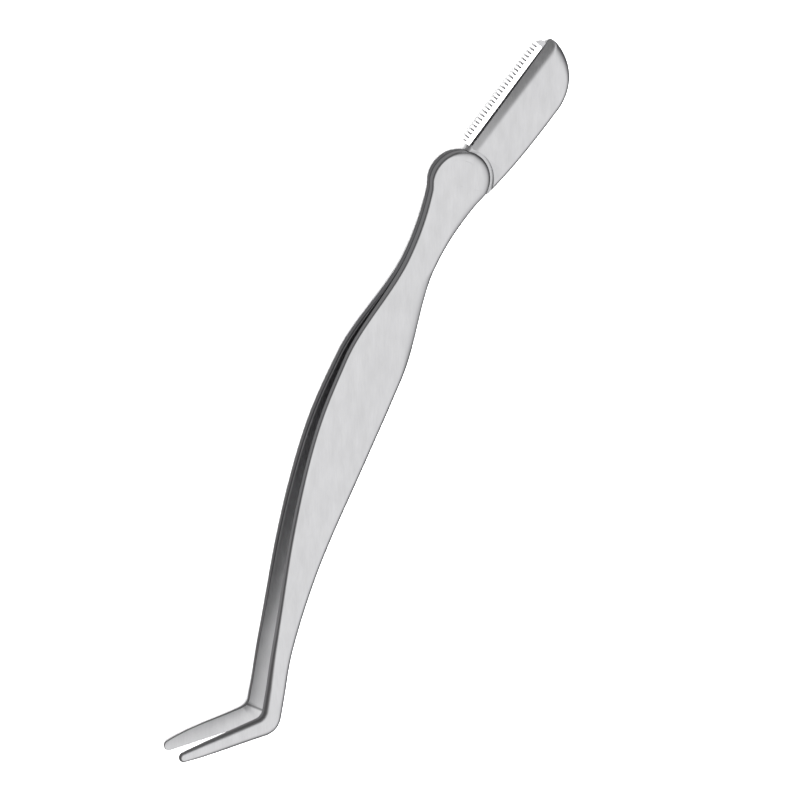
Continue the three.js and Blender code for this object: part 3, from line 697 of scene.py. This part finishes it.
slot_start = (GUARD_START_X + GUARD_END_X - GUARD_CORNER - (SLOT_COUNT - 1) * SLOT_PITCH) / 2
columns = [GUARD_START_X]
for i in range(SLOT_COUNT):
    columns += [slot_start + i * SLOT_PITCH - SLOT_WIDTH / 2, slot_start + i * SLOT_PITCH + SLOT_WIDTH / 2]
columns += [GUARD_END_X - GUARD_CORNER * (1 - math.sin(math.radians(a))) for a in CORNER_TURNS]
fold_y = GUARD_TOP_Y - SHEET - FOLD_INSIDE
slot_y = GUARD_TOP_Y - SLOT_DEPTH
fold = [(fold_y + FOLD_INSIDE * math.sin(math.radians(a)), FOLD_INSIDE * math.cos(math.radians(a)))
        for a in FOLD_TURNS]
rows = [(GUARD_LOW_Y, FOLD_INSIDE), (slot_y, FOLD_INSIDE)]
rows += fold + [(slot_y, -FOLD_INSIDE), (GUARD_LOW_Y, -FOLD_INSIDE)]

sheet = bmesh.new()
bmesh.ops.create_grid(sheet, x_segments=len(columns) - 1, y_segments=len(rows) - 1, size=1)
column = sheet.verts.layers.int.new("column")
row = sheet.verts.layers.int.new("row")
for v in sheet.verts:
    v[column] = round((v.co.x + 1) / 2 * (len(columns) - 1))
    v[row] = round((v.co.y + 1) / 2 * (len(rows) - 1))
slots = []
for f in sheet.faces:
    first = min(v[column] for v in f.verts)
    lowest = min(v[row] for v in f.verts)
    if first % 2 == 1 and first < 2 * SLOT_COUNT and 1 <= lowest < len(rows) - 2:
        slots.append(f)
bmesh.ops.delete(sheet, geom=slots, context="FACES")
for v in sheet.verts:
    x, (y, z) = columns[v[column]], rows[v[row]]
    past = max(x - (GUARD_END_X - GUARD_CORNER), 0)
    drop = GUARD_CORNER - math.sqrt(max(GUARD_CORNER ** 2 - past ** 2, 0))
    share = max(y - (GUARD_TOP_Y - GUARD_CORNER), 0) / GUARD_CORNER
    v.co = (x, y - drop * share, z)
bmesh.ops.recalc_face_normals(sheet, faces=sheet.faces[:])


PLAIN_SPREAD = 0.04


def plain_steel(name, colour, roughness, scratch_size, metallic=1.0):
    """Bare steel with a faint fine grain."""
    material = bpy.data.materials.new(name)
    material.use_nodes = True
    tree = material.node_tree
    shader = tree.nodes["Principled BSDF"]
    shader.inputs["Metallic"].default_value = metallic
    grain = add(tree, "ShaderNodeGroup", {"node_tree": brushing}, Scratch_Size=scratch_size)
    tone = ranged(tree, grain.outputs["Clouds"], CLOUD_RANGE, CLOUD_TONES)
    face = add(tree, "ShaderNodeVectorMath", {"operation": "SCALE"}, i0=colour, Scale=tone.outputs[0])
    tree.links.new(face.outputs[0], shader.inputs["Base Color"])
    spread = (roughness - PLAIN_SPREAD, roughness + PLAIN_SPREAD)
    rough = ranged(tree, grain.outputs["Scratches"], SCRATCH_RANGE, spread)
    tree.links.new(rough.outputs[0], shader.inputs["Roughness"])
    return material


guard_steel = plain_steel("guard_steel", GUARD_BRIGHT, GUARD_ROUGHNESS, GUARD_GRAIN, GUARD_METALLIC)
guard_cut_shade = plain_steel("guard_cut_edge_shade", GUARD_CUT_SHADE, GUARD_ROUGHNESS, GUARD_GRAIN, GUARD_CUT_METALLIC)
guard = finish_piece("folded_guard", sheet, razor, False, [guard_steel, guard_cut_shade])
thickness = guard.modifiers.new("sheet", "SOLIDIFY")
thickness.thickness = SHEET * MM
thickness.offset = 1
thickness.use_even_offset = True
thickness.material_offset_rim = 1
guard.modifiers.move(guard.modifiers.find("sheet"), 0)
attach(guard, "head")
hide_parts("blade_guard")

# Blade, its two pins and the tang's rivet. The blade is a thin polished strip ground to an edge; the blind
# pins that hold it and the rivet through the tangs are plain steel and stay inside the cheeks and lobes.
BLADE_GREY = (0.56, 0.56, 0.57)
BLADE_ROUGHNESS = 0.25
BLADE_GRAIN = 2.0
PIN_GREY = (0.45, 0.45, 0.46)
PIN_ROUGHNESS = 0.4
PIN_GRAIN = 1.0
# The blade is painted darker wherever the guard covers it, as painted shade; its bare end keeps the full
# tone.
UNDER_GUARD_SHADE = 0.5
BARE_END_STEP = 0.1
blade_steel = plain_steel("blade_steel", BLADE_GREY, BLADE_ROUGHNESS, BLADE_GRAIN)
blade_tree = blade_steel.node_tree
along_blade = add(blade_tree, "ShaderNodeMapping", {"vector_type": "TEXTURE"},
                  Vector=add(blade_tree, "ShaderNodeTexCoord").outputs["Object"],
                  Location=LYING_PLACE * MM, Rotation=(0, 0, RAZOR_TURN))
across_blade = add(blade_tree, "ShaderNodeSeparateXYZ", None, Vector=along_blade.outputs[0])
bare_end = (GUARD_END_X * MM, (GUARD_END_X + BARE_END_STEP) * MM)
guard_shade = ranged(blade_tree, across_blade.outputs["X"], bare_end, (UNDER_GUARD_SHADE, 1.0))
flat_colour = blade_tree.nodes["Principled BSDF"].inputs["Base Color"].links[0].from_socket
shaded_blade_colour = add(blade_tree, "ShaderNodeVectorMath", {"operation": "SCALE"},
                  i0=flat_colour, Scale=guard_shade.outputs[0])
blade_tree.links.new(shaded_blade_colour.outputs[0], blade_tree.nodes["Principled BSDF"].inputs["Base Color"])
pin_steel = plain_steel("pin_steel", PIN_GREY, PIN_ROUGHNESS, PIN_GRAIN)
for node, material in (("razor_blade", blade_steel), ("blade_pin_near_lobe", pin_steel),
                       ("blade_pin_near_tip", pin_steel), ("tang_rivet", pin_steel)):
    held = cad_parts[node]
    held.data.materials.clear()
    held.data.materials.append(material)

# Studio: a pale floor under the tool, a broad soft light from above and behind its right side that falls
# off towards the other side and the horizon, and a lamp overhead that lights the floor alone.
FLOOR_HALF = 4
FLOOR_DROP = 0.00002
FLOOR_WHITE = (0.92, 0.92, 0.92, 1)
FLOOR_ROUGHNESS = 0.9
floor_bmesh = bmesh.new()
bmesh.ops.create_grid(floor_bmesh, x_segments=1, y_segments=1, size=FLOOR_HALF)
bmesh.ops.translate(floor_bmesh, vec=(0, 0, -FLOOR_DROP), verts=floor_bmesh.verts[:])
floor_mesh = bpy.data.meshes.new("floor")
floor_bmesh.to_mesh(floor_mesh)
floor_bmesh.free()
floor_piece = bpy.data.objects.new("floor", floor_mesh)
bpy.context.scene.collection.objects.link(floor_piece)
floor_paint = bpy.data.materials.new("floor_paint")
floor_paint.use_nodes = True
floor_shader = floor_paint.node_tree.nodes["Principled BSDF"]
floor_shader.inputs["Base Color"].default_value = FLOOR_WHITE
floor_shader.inputs["Roughness"].default_value = FLOOR_ROUGHNESS
floor_shader.inputs["Specular IOR Level"].default_value = 0.0
floor_mesh.materials.append(floor_paint)
floor_piece.visible_glossy = False

SOFTBOX = Vector((-0.136, -0.47, 0.87)).normalized()
LIGHT_HIGH = 1.18
LIGHT_LOW = 0.13
LIGHT_REACH = (0.42, 0.97)
BOUNCE = 0.34
BOUNCE_REACH = 0.8
LAMP_WIDTH = 2.4
LAMP_POWER = 90
LAMP_HEIGHT = 1.2
world = bpy.data.worlds.new("studio")
bpy.context.scene.world = world
world.use_nodes = True
sky = world.node_tree
direction = add(sky, "ShaderNodeTexCoord")
facing = add(sky, "ShaderNodeVectorMath", {"operation": "DOT_PRODUCT"},
             i0=direction.outputs["Generated"], i1=SOFTBOX)
falloff = add(sky, "ShaderNodeMapRange", {"interpolation_type": "SMOOTHSTEP"}, Value=facing.outputs["Value"],
              From_Min=LIGHT_REACH[0], From_Max=LIGHT_REACH[1], To_Min=LIGHT_LOW, To_Max=LIGHT_HIGH)
downward = add(sky, "ShaderNodeVectorMath", {"operation": "DOT_PRODUCT"}, i0=direction.outputs["Generated"],
               i1=(0, 0, -1))
bounce = add(sky, "ShaderNodeMapRange", {"interpolation_type": "SMOOTHSTEP"}, Value=downward.outputs["Value"],
             From_Min=0.0, From_Max=BOUNCE_REACH, To_Min=0.0, To_Max=BOUNCE)
level = add(sky, "ShaderNodeMath", {"operation": "ADD"}, i0=falloff.outputs[0], i1=bounce.outputs[0])
sky.links.new(level.outputs[0], sky.nodes["Background"].inputs["Color"])

lamp_data = bpy.data.lights.new("floor_lamp", "AREA")
lamp_data.shape = "DISK"
lamp_data.size = LAMP_WIDTH
lamp_data.energy = LAMP_POWER
lamp = bpy.data.objects.new("floor_lamp", lamp_data)
lamp.location = (0, 0, LAMP_HEIGHT)
lamp.visible_glossy = False
bpy.context.scene.collection.objects.link(lamp)

# Camera: a long lens that looks down on the tool from its left side,
# rolled so that the razor points up and to the right.
SEEN_RIGHT = Vector((0.3702, -0.8496, 0.3756)).normalized()
SEEN_UP = Vector((0.9190, 0.2759, -0.2817)).normalized()
TOWARDS = SEEN_RIGHT.cross(SEEN_UP)
PIXELS_PER_MM = 6.4
IMAGE = 800
LOBE_PIXEL = (458.64, 180.56)
LENS = 900
SENSOR = 36
camera_data = bpy.data.cameras.new("camera")
camera_data.lens = LENS
camera_data.sensor_width = SENSOR
away = IMAGE / PIXELS_PER_MM * camera_data.lens / camera_data.sensor_width
aim_right, aim_down = ((IMAGE / 2 - pixel) / PIXELS_PER_MM for pixel in LOBE_PIXEL)
aim = SEEN_RIGHT * aim_right - SEEN_UP * aim_down
eye = lying @ (aim + TOWARDS * away)
turn = lying.to_3x3().normalized() @ Matrix((SEEN_RIGHT, SEEN_UP, TOWARDS)).transposed()
camera = bpy.data.objects.new("camera", camera_data)
camera.matrix_world = Matrix.Translation(eye) @ turn.to_4x4()
bpy.context.scene.collection.objects.link(camera)
bpy.context.scene.camera = camera
bpy.context.scene.view_settings.view_transform = "Standard"
